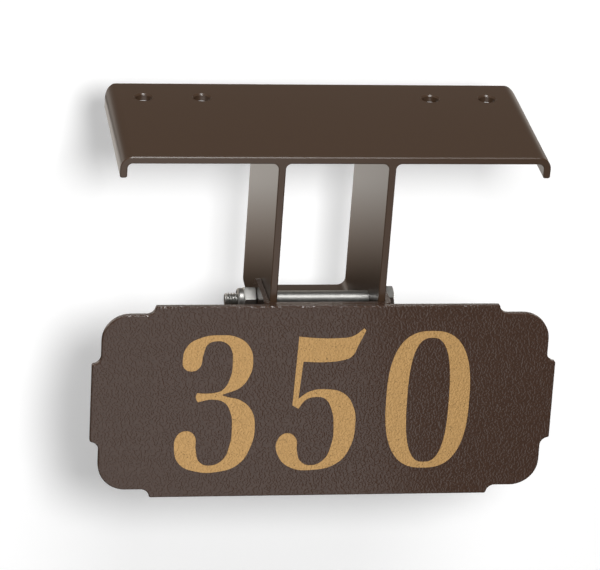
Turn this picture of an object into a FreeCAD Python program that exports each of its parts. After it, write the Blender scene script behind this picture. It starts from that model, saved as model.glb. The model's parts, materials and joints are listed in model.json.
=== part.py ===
import FreeCAD, Part
import os
import re

import Sketcher

# Hanging house number plaque: an extruded hanger, a pivot bolt and a plaque that rocks on it.
# Row frame: X to the right, Y to the back, Z up, origin at the centre of the hanger's upper face.
# Lengths are in millimetres and angles in degrees.

SIZES = (
    # Hanger, one aluminium extrusion cut to length along Y
    ("plate_width", 190.5),
    ("hanger_depth", 82.5),
    ("wall", 3.2),
    ("lip_height", 9.9),
    ("lip_bend_radius", 2.3),
    ("leg_span", 52.0),
    ("box_height", 99.0),
    ("leg_fillet", 2.7),
    ("box_bend_radius", 4.0),
    ("tip_round", 1.0),
    ("rear_corner_radius", 6.5),
    ("sawn_edge_chamfer", 0.4),
    # Screw holes near the plate's rear edge
    ("screw_hole", 7.5),
    ("screw_hole_flare", 0.7),
    ("inner_hole_spacing", 105.0),
    ("outer_hole_spacing", 157.8),
    ("hole_setback", 16.0),
    # Pivot line, measured from the legs' front edges and the cross plate's underside
    ("pivot_setback", 25.0),
    ("pivot_rise", 24.0),
    # Quarter inch hexagon bolt
    ("bolt_diameter", 6.35),
    ("bolt_reach", 73.0),
    ("head_flats", 11.11),
    ("head_height", 4.1),
    ("hex_face_inset", 0.28),
    ("head_turn", -3.0),
    ("bolt_tip_chamfer", 0.9),
    ("leg_hole_clearance", 0.3),
    ("ear_running_clearance", 0.075),
    ("stack_clearance", 0.1),
    # Spacer tube between the legs
    ("spacer_outer", 7.94),
    ("spacer_bore_clearance", 0.15),
    # Washer under the bolt head
    ("washer_outer", 15.9),
    ("washer_thickness", 1.6),
    ("washer_bore_clearance", 0.2),
    # Lock nut with a nylon ring
    ("nut_flats", 11.11),
    ("nut_hex_height", 4.8),
    ("nut_collar_height", 3.6),
    ("nut_collar_diameter", 10.6),
    ("nut_collar_taper", 1.0),
    ("nut_turn", 5.0),
    ("nut_thread_clearance", 0.02),
    ("ring_outer", 8.8),
    ("ring_height", 2.6),
    ("ring_clearance", 0.05),
    ("crimp_width", 0.7),
    # Bracket bent from flat bar, its ears outside the legs
    ("bar_width", 19.0),
    ("bar_thickness", 2.4),
    ("bar_bend_radius", 1.2),
    ("ear_side_clearance", 0.2),
    ("plaque_standoff", 29.4),
    # Number plate
    ("plaque_width", 209.5),
    ("plaque_height", 92.2),
    ("plaque_thickness", 3.2),
    ("corner_step", 4.0),
    ("corner_radius", 12.5),
    ("corner_reach", 27.5),
    ("cove_point_round", 0.8),
    ("plaque_edge_chamfer", 0.5),
    ("plaque_tilt", 5.0),
)

COS_30 = "cos(30)"
TINY = 1e-6
# How far a cutting outline runs past the piece that it cuts
OVERCUT = "10"
# The corners of a hexagon are turned off at this slope, by a tool that clears them by this much
CHAMFER_SLOPE = "tan(30)"
CORNER_CLEARANCE = "1"

doc = FreeCAD.newDocument("NumberPlaque")
sheet = doc.addObject("Spreadsheet::Sheet", "Sizes")
for row, (alias, size) in enumerate(SIZES, start=1):
    sheet.set(f"A{row}", alias)
    sheet.set(f"B{row}", str(size))
    sheet.setAlias(f"B{row}", alias)
doc.recompute()

ALIASES = {alias for alias, size in SIZES}


def cells(text):
    """An expression with each driving size written as its spreadsheet cell."""
    return re.sub(r"[a-z_]+", lambda word: f"Sizes.{word[0]}" if word[0] in ALIASES else word[0], text)


def number(text):
    """The present value of an expression."""
    return float(sheet.evalExpression(cells(text)))


def bind(thing, path, text):
    """Ties one property to the driving sizes."""
    thing.setExpression(path, cells(text))


def new_body(label):
    body = doc.addObject("PartDesign::Body", label)
    body.Label = label
    return body


def new_sketch(body, name, role, offset="0", turn="0"):
    """A sketch on one of the body's own origin planes, moved along the plane's normal."""
    sketch = body.newObject("Sketcher::SketchObject", name)
    plane = next(item for item in body.Origin.OriginFeatures if item.Role == role)
    sketch.AttachmentSupport = [(plane, "")]
    sketch.MapMode = "FlatFace"
    bind(sketch, "AttachmentOffset.Base.z", offset)
    bind(sketch, "AttachmentOffset.Rotation.Angle", turn)
    return sketch


def drive(sketch, kind, *where, text):
    """Adds a dimension to a sketch and binds it to an expression."""
    index = sketch.addConstraint(Sketcher.Constraint(kind, *where, number(text)))
    bind(sketch, f"Constraints[{index}]", text)


def place_point(sketch, item, point, axis, text):
    """Fixes one coordinate of a point, on the sketch's own axis where that coordinate is zero."""
    if abs(number(text)) < TINY:
        sketch.addConstraint(Sketcher.Constraint("PointOnObject", item, point, -2 if axis == "X" else -1))
    else:
        drive(sketch, "Distance" + axis, -1, 1, item, point, text=text)


def circle(sketch, x, y, diameter):
    centre = FreeCAD.Vector(number(x), number(y), 0)
    item = sketch.addGeometry(Part.Circle(centre, FreeCAD.Vector(0, 0, 1), number(diameter) / 2))
    place_point(sketch, item, 3, "X", x)
    place_point(sketch, item, 3, "Y", y)
    drive(sketch, "Diameter", item, text=diameter)


def hexagon(sketch, flats):
    """A regular hexagon about the origin, its first corner on the sketch's X axis."""
    radius = number(f"{flats} / 2 / {COS_30}")
    spoke = FreeCAD.Vector(radius, 0, 0)
    turn = FreeCAD.Rotation(FreeCAD.Vector(0, 0, 1), 60)
    guide = sketch.addGeometry(Part.Circle(FreeCAD.Vector(), FreeCAD.Vector(0, 0, 1), radius), True)
    sketch.addConstraint(Sketcher.Constraint("Coincident", guide, 3, -1, 1))
    drive(sketch, "Radius", guide, text=f"{flats} / 2 / {COS_30}")
    sides = []
    for _ in range(6):
        far = turn.multVec(spoke)
        sides.append(sketch.addGeometry(Part.LineSegment(spoke, far)))
        spoke = far
    for side, after in zip(sides, sides[1:] + sides[:1]):
        sketch.addConstraint(Sketcher.Constraint("Coincident", side, 2, after, 1))
        sketch.addConstraint(Sketcher.Constraint("PointOnObject", side, 1, guide))
    for side in sides[1:]:
        sketch.addConstraint(Sketcher.Constraint("Equal", sides[0], side))
    sketch.addConstraint(Sketcher.Constraint("PointOnObject", sides[0], 1, -1))


def outline(sketch, corners):
    """A closed outline of upright and level sides. Each corner is (x, y) or (x, y, radius)."""
    points = [FreeCAD.Vector(number(corner[0]), number(corner[1]), 0) for corner in corners]
    radii = [number(corner[2]) if len(corner) > 2 else 0 for corner in corners]
    count = len(corners)
    along = [(points[(i + 1) % count] - points[i]).normalize() for i in range(count)]
    pieces = []
    for i, corner in enumerate(corners):
        before = points[i] - along[i - 1] * radii[i]
        after = points[i] + along[i] * radii[i]
        if radii[i]:
            centre = before + along[i] * radii[i]
            middle = centre + (points[i] - centre).normalize() * radii[i]
            arc = Part.Arc(before, middle, after)
            item = sketch.addGeometry(arc)
            reverse = (before - centre).cross(after - centre).z < 0
            pieces.append(("arc", item, 2 if reverse else 1, 1 if reverse else 2, i))
        following = (i + 1) % count
        side_end = points[following] - along[i] * radii[following]
        if (side_end - after).Length > TINY:
            item = sketch.addGeometry(Part.LineSegment(after, side_end))
            upright = abs(along[i].x) < TINY
            sketch.addConstraint(Sketcher.Constraint("Vertical" if upright else "Horizontal", item))
            place_point(sketch, item, 1, "X" if upright else "Y", corner[0 if upright else 1])
            pieces.append(("side", item, 1, 2, i))
        else:
            pieces.append(("point", None, None, None, i))
    drawn = [piece for piece in pieces if piece[0] != "point"]
    for piece, after in zip(drawn, drawn[1:] + drawn[:1]):
        sets_off = along[after[4] - 1] if after[0] == "arc" else along[after[4]]
        smooth = "arc" in (piece[0], after[0]) and along[piece[4]].dot(sets_off) > 1 - TINY
        joint = "Tangent" if smooth else "Coincident"
        sketch.addConstraint(Sketcher.Constraint(joint, piece[1], piece[3], after[1], after[2]))
    for kind, item, first, last, i in pieces:
        if kind == "arc":
            drive(sketch, "Radius", item, text=corners[i][2])
        if kind == "point":
            arc = next(piece for piece in pieces if piece[0] == "arc" and piece[4] in (i, (i + 1) % count))
            upright = abs(along[i].x) < TINY
            end = arc[3] if arc[4] == i else arc[2]
            place_point(sketch, arc[1], end, "X" if upright else "Y", corners[i][0 if upright else 1])


def extrude(body, kind, name, sketch, length=None, side="One side", backward=False):
    """A pad or pocket of a sketch. Without a length, a pocket goes through all."""
    feature = body.newObject("PartDesign::" + kind, name)
    feature.Profile = sketch
    if length is None:
        feature.Type = "ThroughAll"
    else:
        bind(feature, "Length", length)
    feature.SideType = side
    feature.Reversed = backward
    doc.recompute()
    return feature


def turned(body, kind, name, sketch):
    """A revolution or groove about the sketch's upright axis."""
    feature = body.newObject("PartDesign::" + kind, name)
    feature.Profile = sketch
    feature.ReferenceAxis = (sketch, ["V_Axis"])
    feature.Angle = 360
    doc.recompute()
    return feature


def edge_names(feature, wanted):
    return [f"Edge{i}" for i, edge in enumerate(feature.Shape.Edges, start=1) if wanted(edge)]


def soften(body, kind, name, base, wanted, size):
    """A fillet or chamfer on the edges of a feature that pass a test of place."""
    feature = body.newObject("PartDesign::" + kind, name)
    feature.Base = (base, edge_names(base, wanted))
    bind(feature, "Radius" if kind == "Fillet" else "Size", size)
    doc.recompute()
    return feature


def lies_on(axis, text):
    """A test for edges that lie wholly in the plane where one coordinate has the given value."""
    level = number(text)
    low, high = axis + "Min", axis + "Max"
    return lambda edge: (
        abs(getattr(edge.BoundBox, low) - level) < 1e-3 and abs(getattr(edge.BoundBox, high) - level) < 1e-3
    )


def put(body, x="0", y="0", z="0"):
    bind(body, "Placement.Base.x", x)
    bind(body, "Placement.Base.y", y)
    bind(body, "Placement.Base.z", z)


PIVOT_Y = "pivot_setback - hanger_depth / 2"
PIVOT_Z = "pivot_rise - 2 * wall - box_height"
HALF_PLATE = "plate_width / 2"
HALF_LEGS = "leg_span / 2"
EAR_INNER = "(leg_span / 2 + ear_side_clearance)"
EAR_OUTER = "(leg_span / 2 + ear_side_clearance + bar_thickness)"


def make_hanger():
    """The extrusion: a top plate with turned-down lips, over a closed box that the bolt crosses."""
    body = new_body("hanger")
    section = new_sketch(body, "hanger_section", "XZ_Plane")
    lip_inside = "(plate_width / 2 - wall)"
    lip_outer_radius = "lip_bend_radius + wall"
    box_bottom = "-(2 * wall + box_height)"
    box_outer_radius = "box_bend_radius + wall"
    outline(section, [
        (f"-{HALF_PLATE}", "0", lip_outer_radius),
        (HALF_PLATE, "0", lip_outer_radius),
        (HALF_PLATE, "-lip_height", "tip_round"),
        (lip_inside, "-lip_height", "tip_round"),
        (lip_inside, "-wall", "lip_bend_radius"),
        (HALF_LEGS, "-wall", "leg_fillet"),
        (HALF_LEGS, box_bottom, box_outer_radius),
        (f"-{HALF_LEGS}", box_bottom, box_outer_radius),
        (f"-{HALF_LEGS}", "-wall", "leg_fillet"),
        (f"-{lip_inside}", "-wall", "lip_bend_radius"),
        (f"-{lip_inside}", "-lip_height", "tip_round"),
        (f"-{HALF_PLATE}", "-lip_height", "tip_round"),
    ])
    leg_inside = "(leg_span / 2 - wall)"
    outline(section, [
        (f"-{leg_inside}", "-wall", "leg_fillet"),
        (leg_inside, "-wall", "leg_fillet"),
        (leg_inside, "-(wall + box_height)", "box_bend_radius"),
        (f"-{leg_inside}", "-(wall + box_height)", "box_bend_radius"),
    ])
    extrusion = extrude(body, "Pad", "extrusion", section, "hanger_depth", "Symmetric")

    # The sawn ends lose their sharp edges.
    rear = "hanger_depth / 2"
    front_edges = lies_on("Y", f"-{rear}")
    rear_edges = lies_on("Y", rear)
    soften(
        body, "Chamfer", "eased_ends", extrusion,
        lambda edge: front_edges(edge) or rear_edges(edge), "sawn_edge_chamfer",
    )

    # The two rear corners are rounded in plan by cutting away all that lies outside the plan outline.
    plan = new_sketch(body, "plan_outline", "XY_Plane")
    outline(plan, [
        (f"-{HALF_PLATE}", f"-{rear} - {OVERCUT}"),
        (HALF_PLATE, f"-{rear} - {OVERCUT}"),
        (HALF_PLATE, rear, "rear_corner_radius"),
        (f"-{HALF_PLATE}", rear, "rear_corner_radius"),
    ])
    outline(plan, [
        (f"-{HALF_PLATE} - {OVERCUT}", f"-{rear} - 2 * {OVERCUT}"),
        (f"{HALF_PLATE} + {OVERCUT}", f"-{rear} - 2 * {OVERCUT}"),
        (f"{HALF_PLATE} + {OVERCUT}", f"{rear} + {OVERCUT}"),
        (f"-{HALF_PLATE} - {OVERCUT}", f"{rear} + {OVERCUT}"),
    ])
    extrude(body, "Pocket", "rear_corners", plan, side="Symmetric")

    screws = new_sketch(body, "screw_holes", "XY_Plane")
    for spacing in ("inner_hole_spacing", "outer_hole_spacing"):
        for side in ("-", ""):
            circle(screws, f"{side}{spacing} / 2", "hanger_depth / 2 - hole_setback", "screw_hole")
    drilled = extrude(body, "Pocket", "screw_drilling", screws, "wall + lip_height")
    top_rims = lies_on("Z", "0")
    rims = lambda edge: top_rims(edge) and isinstance(edge.Curve, Part.Circle) and edge.isClosed()
    soften(body, "Chamfer", "screw_hole_flares", drilled, rims, "screw_hole_flare")

    pivot = new_sketch(body, "pivot_hole", "YZ_Plane")
    circle(pivot, PIVOT_Y, PIVOT_Z, "bolt_diameter + 2 * leg_hole_clearance")
    body.Tip = extrude(body, "Pocket", "pivot_drilling", pivot, side="Symmetric")
    return body


def chamfer_groove(body, name, flats, level, outward):
    """Turns away the corners of a hexagon at one end, which leaves a round face there."""
    sketch = new_sketch(body, name + "_profile", "XZ_Plane")
    inner = f"({flats} / 2 - hex_face_inset)"
    outer = f"({flats} / 2 / {COS_30} + {CORNER_CLEARANCE})"
    drop = f"({outer} - {inner}) * {CHAMFER_SLOPE}"
    corners = [
        (inner, level),
        (outer, level),
        (outer, f"{level} - {outward} * {drop}"),
    ]
    points = [FreeCAD.Vector(number(x), number(y), 0) for x, y in corners]
    for i in range(3):
        sketch.addGeometry(Part.LineSegment(points[i], points[(i + 1) % 3]))
    for i, (x, y) in enumerate(corners):
        sketch.addConstraint(Sketcher.Constraint("Coincident", i, 1, (i + 2) % 3, 2))
        place_point(sketch, i, 1, "X", x)
        place_point(sketch, i, 1, "Y", y)
    return turned(body, "Groove", name, sketch)


def make_bolt():
    """A hexagon head above the local XY plane and a plain shank below it."""
    body = new_body("pivot_bolt")
    head = new_sketch(body, "head_hexagon", "XY_Plane", turn="head_turn")
    hexagon(head, "head_flats")
    extrude(body, "Pad", "head", head, "head_height")
    chamfer_groove(body, "head_chamfer", "head_flats", "head_height", 1)
    shank_circle = new_sketch(body, "shank_circle", "XY_Plane")
    circle(shank_circle, "0", "0", "bolt_diameter")
    shank = extrude(body, "Pad", "shank", shank_circle, "bolt_reach", backward=True)
    body.Tip = soften(body, "Chamfer", "tip", shank, lies_on("Z", "-bolt_reach"), "bolt_tip_chamfer")
    return body


def make_ring(label, outer, inner, height):
    """A plain round tube standing on the local XY plane."""
    body = new_body(label)
    section = new_sketch(body, label + "_circles", "XY_Plane")
    circle(section, "0", "0", outer)
    circle(section, "0", "0", inner)
    body.Tip = extrude(body, "Pad", label + "_tube", section, height)
    return body


def make_lock_nut():
    """A hexagon with a round collar, whose rim is crimped over a nylon ring."""
    body = new_body("lock_nut")
    hexagon_sketch = new_sketch(body, "nut_hexagon", "XY_Plane", turn="nut_turn")
    hexagon(hexagon_sketch, "nut_flats")
    extrude(body, "Pad", "nut_hex", hexagon_sketch, "nut_hex_height")
    chamfer_groove(body, "nut_bearing_chamfer", "nut_flats", "0", -1)
    chamfer_groove(body, "nut_collar_chamfer", "nut_flats", "nut_hex_height", 1)
    collar_circle = new_sketch(body, "collar_circle", "XY_Plane")
    circle(collar_circle, "0", "0", "nut_collar_diameter")
    top = "(nut_hex_height + nut_collar_height)"
    collar = extrude(body, "Pad", "collar", collar_circle, top)
    soften(body, "Chamfer", "collar_taper", collar, lies_on("Z", top), "nut_collar_taper")
    bore = new_sketch(body, "thread_bore", "XY_Plane")
    circle(bore, "0", "0", "bolt_diameter + 2 * nut_thread_clearance")
    extrude(body, "Pocket", "thread", bore, side="Symmetric")
    seat = new_sketch(body, "ring_seat_profile", "XZ_Plane")
    seat_top = f"{top} - crimp_width"
    inside_bore = "bolt_diameter / 4"
    outline(seat, [
        (inside_bore, f"{seat_top} - ring_height"),
        ("ring_outer / 2", f"{seat_top} - ring_height"),
        ("ring_outer / 2", seat_top),
        (inside_bore, seat_top),
    ])
    turned(body, "Groove", "ring_seat", seat)
    mouth = new_sketch(body, "collar_mouth", "XY_Plane", offset=top)
    circle(mouth, "0", "0", "ring_outer - 2 * crimp_width")
    body.Tip = extrude(body, "Pocket", "mouth", mouth, "crimp_width")
    return body


def make_bracket():
    """Flat bar bent to a U about the local origin, which lies on the pivot line between the ears."""
    body = new_body("plaque_bracket")
    bend = new_sketch(body, "bracket_bend", "XY_Plane")
    outside_radius = "bar_bend_radius + bar_thickness"
    base_front = "-plaque_standoff"
    base_back = "-(plaque_standoff - bar_thickness)"
    outline(bend, [
        (f"-{EAR_OUTER}", base_front, outside_radius),
        (EAR_OUTER, base_front, outside_radius),
        (EAR_OUTER, "0"),
        (EAR_INNER, "0"),
        (EAR_INNER, base_back, "bar_bend_radius"),
        (f"-{EAR_INNER}", base_back, "bar_bend_radius"),
        (f"-{EAR_INNER}", "0"),
        (f"-{EAR_OUTER}", "0"),
    ])
    extrude(body, "Pad", "bent_bar", bend, "bar_width", "Symmetric")
    round_end = new_sketch(body, "ear_circle", "YZ_Plane", offset=EAR_INNER)
    circle(round_end, "0", "0", "bar_width")
    ear = extrude(body, "Pad", "right_ear_end", round_end, "bar_thickness")
    both = body.newObject("PartDesign::Mirrored", "ear_ends")
    both.Originals = [ear]
    both.MirrorPlane = (next(item for item in body.Origin.OriginFeatures if item.Role == "YZ_Plane"), [""])
    body.Tip = both
    doc.recompute()
    hole = new_sketch(body, "ear_hole", "YZ_Plane")
    circle(hole, "0", "0", "bolt_diameter + 2 * ear_running_clearance")
    body.Tip = extrude(body, "Pocket", "ear_drilling", hole, side="Symmetric")
    return body


def make_number_plate():
    """A flat plate with stepped, coved corners, its top edge level with the bracket's."""
    body = new_body("number_plate")
    face = new_sketch(body, "plate_outline", "XZ_Plane", offset="plaque_standoff")
    top = "bar_width / 2"
    middle = "(bar_width / 2 - plaque_height / 2)"
    corners = []
    for right, above in ((-1, 1), (1, 1), (1, -1), (-1, -1)):
        across = lambda inset: f"{right} * (plaque_width / 2 - {inset})"
        up = lambda inset: f"{middle} + {above} * (plaque_height / 2 - {inset})"
        from_side = [
            (across("0"), up("corner_reach")),
            (across("corner_step"), up("corner_reach"), "corner_step"),
            (across("corner_step"), up("corner_step"), "corner_radius"),
            (across("corner_reach"), up("corner_step"), "corner_step"),
            (across("corner_reach"), up("0")),
        ]
        corners += from_side if right * above < 0 else reversed(from_side)
    outline(face, corners)
    plate = extrude(body, "Pad", "plate", face, "plaque_thickness")
    on_edge = [lies_on("X", f"{sign}plaque_width / 2") for sign in ("", "-")]
    on_edge += [lies_on("Z", level) for level in (top, f"({top} - plaque_height)")]
    points = soften(
        body, "Fillet", "cove_points", plate,
        lambda edge: edge.BoundBox.YLength > number("plaque_thickness") / 2
        and any(test(edge) for test in on_edge),
        "cove_point_round",
    )
    front = lies_on("Y", "-(plaque_standoff + plaque_thickness)")
    back = lies_on("Y", "-plaque_standoff")
    body.Tip = soften(
        body, "Chamfer", "plate_edges", points,
        lambda edge: front(edge) or back(edge), "plaque_edge_chamfer",
    )
    return body


def make_all():
    hanger = make_hanger()
    put(hanger)

    across = FreeCAD.Rotation(FreeCAD.Vector(0, 1, 0), 90)
    bolt = make_bolt()
    washer = make_ring(
        "head_washer", "washer_outer", "bolt_diameter + 2 * washer_bore_clearance", "washer_thickness"
    )
    spacer = make_ring(
        "spacer_tube", "spacer_outer", "bolt_diameter + 2 * spacer_bore_clearance",
        "leg_span - 2 * wall",
    )
    nut = make_lock_nut()
    ring = make_ring(
        "nylon_ring", "ring_outer - 2 * ring_clearance", "bolt_diameter + 2 * nut_thread_clearance",
        "ring_height - 2 * ring_clearance",
    )
    for piece in (bolt, washer, spacer):
        piece.Placement.Rotation = across
    for piece in (nut, ring):
        piece.Placement.Rotation = FreeCAD.Rotation(FreeCAD.Vector(0, 1, 0), -90)

    stack_face = f"({EAR_OUTER} + stack_clearance)"
    put(bolt, f"{stack_face} + washer_thickness", PIVOT_Y, PIVOT_Z)
    put(washer, stack_face, PIVOT_Y, PIVOT_Z)
    put(spacer, f"-({HALF_LEGS} - wall)", PIVOT_Y, PIVOT_Z)
    put(nut, f"-{stack_face}", PIVOT_Y, PIVOT_Z)
    ring_base = "(nut_hex_height + nut_collar_height - crimp_width - ring_height + ring_clearance)"
    put(ring, f"-{stack_face} - {ring_base}", PIVOT_Y, PIVOT_Z)

    for piece in (make_bracket(), make_number_plate()):
        piece.Placement.Rotation = FreeCAD.Rotation(FreeCAD.Vector(1, 0, 0), -1)
        bind(piece, "Placement.Rotation.Angle", "-plaque_tilt")
        put(piece, "0", PIVOT_Y, PIVOT_Z)


def check_document():
    for item in doc.Objects:
        if "Invalid" in item.State or "Error" in item.State:
            raise RuntimeError(f"{item.Label} did not compute: {item.State}")
    for body in doc.findObjects("PartDesign::Body"):
        if body.Shape.isNull() or not body.Shape.isValid():
            raise RuntimeError(f"{body.Label} has no valid shape")
        if len(body.Shape.Solids) != 1:
            raise RuntimeError(f"{body.Label} is not one solid")


def write_parts():
    os.makedirs("parts", exist_ok=True)
    for body in doc.findObjects("PartDesign::Body"):
        body.Shape.exportStep(f"parts/{body.Label}.step")


make_all()
doc.recompute()
check_document()
write_parts()
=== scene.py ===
"""Dresses the hanging house number plaque: finishes, threaded bolt, lock nut, gold figures and stage."""

import json
import math

import bmesh
import bpy
from bpy.props import FloatProperty, FloatVectorProperty, PointerProperty
from mathutils import Matrix, Vector


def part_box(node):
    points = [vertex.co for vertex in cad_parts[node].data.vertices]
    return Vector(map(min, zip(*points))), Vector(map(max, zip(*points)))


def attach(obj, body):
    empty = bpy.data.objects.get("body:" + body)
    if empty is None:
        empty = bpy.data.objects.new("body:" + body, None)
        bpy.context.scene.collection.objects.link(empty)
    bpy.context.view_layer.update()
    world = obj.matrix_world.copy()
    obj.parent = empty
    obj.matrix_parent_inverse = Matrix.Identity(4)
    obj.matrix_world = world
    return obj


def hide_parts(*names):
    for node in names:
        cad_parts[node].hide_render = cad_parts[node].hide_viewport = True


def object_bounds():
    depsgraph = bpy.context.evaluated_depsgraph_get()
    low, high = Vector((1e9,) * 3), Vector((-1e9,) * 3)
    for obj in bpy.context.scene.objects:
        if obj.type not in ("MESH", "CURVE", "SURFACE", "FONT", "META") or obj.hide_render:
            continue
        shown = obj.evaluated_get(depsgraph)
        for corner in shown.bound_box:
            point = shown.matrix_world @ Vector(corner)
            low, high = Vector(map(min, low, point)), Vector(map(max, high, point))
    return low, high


bl_info = {
    "name": "House Number Plaque",
    "version": (1, 0, 0),
    "blender": (4, 5, 0),
    "location": "View3D > Sidebar > Plaque",
    "description": "Dresses a hanging house number plaque with its finishes, bolt, nut and figures",
    "category": "Object",
}

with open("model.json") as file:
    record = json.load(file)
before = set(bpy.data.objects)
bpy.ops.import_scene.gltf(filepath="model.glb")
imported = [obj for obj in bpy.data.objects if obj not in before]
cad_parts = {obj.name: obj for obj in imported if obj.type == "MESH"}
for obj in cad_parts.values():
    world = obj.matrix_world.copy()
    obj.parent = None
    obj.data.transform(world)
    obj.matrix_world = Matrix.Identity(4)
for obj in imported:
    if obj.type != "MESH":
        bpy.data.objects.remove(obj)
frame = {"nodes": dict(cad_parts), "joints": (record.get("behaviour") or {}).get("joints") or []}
CAD_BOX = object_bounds()

MM = 0.001
PIVOT = Vector(frame["joints"][0]["pos_m"])

# Edges bent by more than this are sharp, and points closer than this are welded. A turned shape has
# this many steps round, and a cutting or joining shape runs this far past where it meets its piece
SHARP_EDGE = math.radians(35)
WELD_DISTANCE = 0.002 * MM
TURNING_STEPS = 64
OVERRUN = 1 * MM

# Hexagons: half the angle that one side takes up, and how their corners are turned off
HEX_SIDES = 6
HALF_SIDE = math.pi / HEX_SIDES
CORNER_SLOPE = math.radians(30)
HEX_FACE_INSET = 0.28 * MM

# Form of the bolt's thread, in shares of its pitch, and the rest of the bolt
CREST_FLAT = 1 / 8
ROOT_FLAT = 1 / 4
FLANK = (1 - CREST_FLAT - ROOT_FLAT) / 2
THREAD_DEPTH = 0.613
THREAD_STEPS = 48
SHANK_BELOW_CREST = 0.04 * MM
TIP_CHAMFER = 0.75 * MM

# The lock nut's collar, its bore and the groove for the nylon ring
COLLAR_ROUND = 1.1 * MM
COLLAR_STEPS = 8
COLLAR_LIP = 0.25 * MM
CRIMP_WIDTH = 0.7 * MM
BORE_CLEARANCE = 0.02 * MM
RING_CLEARANCE = 0.05 * MM
NUT_EDGE_ROUND = 0.12 * MM

# The hammered coat's ridges: their width in millimetres, height, slant and scale up the plaque
RIDGE_WIDTH = 0.92
RIDGE_HEIGHT = 0.095 * MM
RIDGE_SLANT = math.radians(12)
RIDGE_STRETCH = 0.9

# The plaque's front face leans by less than this. The figures' film is pressed into its coat, and
# the film's curves have this many steps between two points
MOST_LEAN = math.radians(25)
FILM_BEDDING = 0.03 * MM
CURVE_STEPS = 12

# Outlines of the figures in millimetres: across from the plaque's middle, down from its top edge.
# A curve runs through the points, smooth or with a corner at each
CORNER = "VECTOR"
SMOOTH = "AUTO"
THREE = (
    (-64.6, 25.6, SMOOTH), (-62.7, 18.6, SMOOTH), (-57.2, 14.9, SMOOTH), (-48.8, 13.5, SMOOTH),
    (-40.1, 14.8, SMOOTH), (-34.9, 19.3, SMOOTH), (-33.1, 26.5, SMOOTH), (-34.4, 33.2, SMOOTH),
    (-38.3, 38.7, SMOOTH), (-44.8, 41.6, SMOOTH), (-46.0, 42.25, SMOOTH), (-44.8, 42.9, SMOOTH),
    (-38.0, 44.9, SMOOTH), (-32.9, 49.6, SMOOTH), (-30.9, 57.8, SMOOTH), (-32.4, 67.7, SMOOTH),
    (-37.6, 76.2, SMOOTH), (-46.8, 79.8, SMOOTH), (-56.8, 79.5, SMOOTH), (-64.2, 75.9, SMOOTH),
    (-66.9, 67.8, SMOOTH), (-65.4, 61.4, SMOOTH), (-61.6, 59.7, SMOOTH), (-58.1, 61.7, SMOOTH),
    (-57.1, 68.9, SMOOTH), (-55.2, 74.9, SMOOTH), (-50.6, 76.7, SMOOTH), (-44.8, 74.0, SMOOTH),
    (-41.9, 66.8, SMOOTH), (-41.2, 58.5, SMOOTH), (-42.2, 50.8, SMOOTH), (-45.2, 45.9, SMOOTH),
    (-50.5, 44.4, SMOOTH), (-54.3, 44.9, SMOOTH), (-57.1, 45.7, CORNER), (-58.1, 43.4, SMOOTH),
    (-57.6, 41.3, CORNER), (-53.8, 41.5, SMOOTH), (-49.8, 41.2, SMOOTH), (-46.4, 40.0, SMOOTH),
    (-43.0, 34.0, SMOOTH), (-42.2, 27.0, SMOOTH), (-43.3, 19.8, SMOOTH), (-46.0, 17.0, SMOOTH),
    (-49.1, 16.3, SMOOTH), (-53.4, 17.6, SMOOTH), (-55.5, 22.7, SMOOTH), (-56.9, 28.9, SMOOTH),
    (-60.0, 30.75, SMOOTH), (-63.7, 29.3, SMOOTH),
)
FIVE = (
    (-13.0, 14.4, CORNER), (-5.55, 15.1, SMOOTH), (4.45, 15.25, SMOOTH), (11.25, 14.3, SMOOTH),
    (16.15, 10.6, CORNER), (17.05, 11.6, CORNER), (14.25, 18.0, SMOOTH), (11.15, 24.2, SMOOTH),
    (6.95, 25.9, SMOOTH), (-1.55, 26.75, SMOOTH), (-10.45, 26.4, CORNER), (-11.8, 44.4, CORNER),
    (-6.75, 40.9, SMOOTH), (0.45, 39.9, SMOOTH), (8.65, 42.0, SMOOTH), (13.35, 48.4, SMOOTH),
    (14.75, 58.0, SMOOTH), (12.85, 68.7, SMOOTH), (7.45, 76.1, SMOOTH), (-4.05, 79.4, SMOOTH),
    (-14.15, 77.9, SMOOTH), (-19.65, 72.2, SMOOTH), (-20.25, 64.5, SMOOTH), (-16.05, 61.2, SMOOTH),
    (-12.05, 63.6, SMOOTH), (-11.15, 70.0, SMOOTH), (-9.35, 75.0, SMOOTH), (-4.75, 77.1, SMOOTH),
    (1.05, 74.6, SMOOTH), (4.35, 67.0, SMOOTH), (4.95, 58.5, SMOOTH), (3.35, 49.3, SMOOTH),
    (0.25, 44.5, SMOOTH), (-3.75, 43.6, SMOOTH), (-8.15, 44.8, SMOOTH), (-11.55, 49.2, CORNER),
    (-14.35, 47.6, CORNER),
)
# The nought is a ring between two squared ovals: middle, half widths and how square each is
ZERO_OUTER = {"middle": (47.2, 45.5), "half": (19.05, 33.45), "squareness": 2.62}
ZERO_INNER = {"middle": (47.3, 45.7), "half": (9.6, 30.4), "squareness": 2.65}
ZERO_POINTS = 160

# White paper behind and below the object
PAPER_WHITE = 0.95
PAPER_SEEN_GLOW = 0.1
WALL_DISTANCE = 100 * MM
FLOOR_HEIGHT = -620 * MM

# Painted reflection: shiny surfaces don't mirror the lit paper but an emission whose brightness is
# painted by its height above the hanger's upper face. It fades and grows warmer towards the floor as
# painted shade. Higher up it is dark, apart from a band level with the hanger's plate, a painted
# highlight that the plaque's top edge mirrors
PAINTED_REFLECTION_LOW = "#DDB99C"
PAINTED_REFLECTION_HIGH = "#FFF7EE"
FADE_HEIGHTS = (-152 * MM, -94 * MM)
FADE_LEVELS = (0.06, 1.06)
UPPER_HEIGHTS = (-48 * MM, -32 * MM)
UPPER_LEVELS = (1.0, 0.09)
BAND_START = (-30 * MM, -20 * MM)
BAND_END = (10 * MM, 30 * MM)
BAND_LEVEL = 0.65
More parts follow.
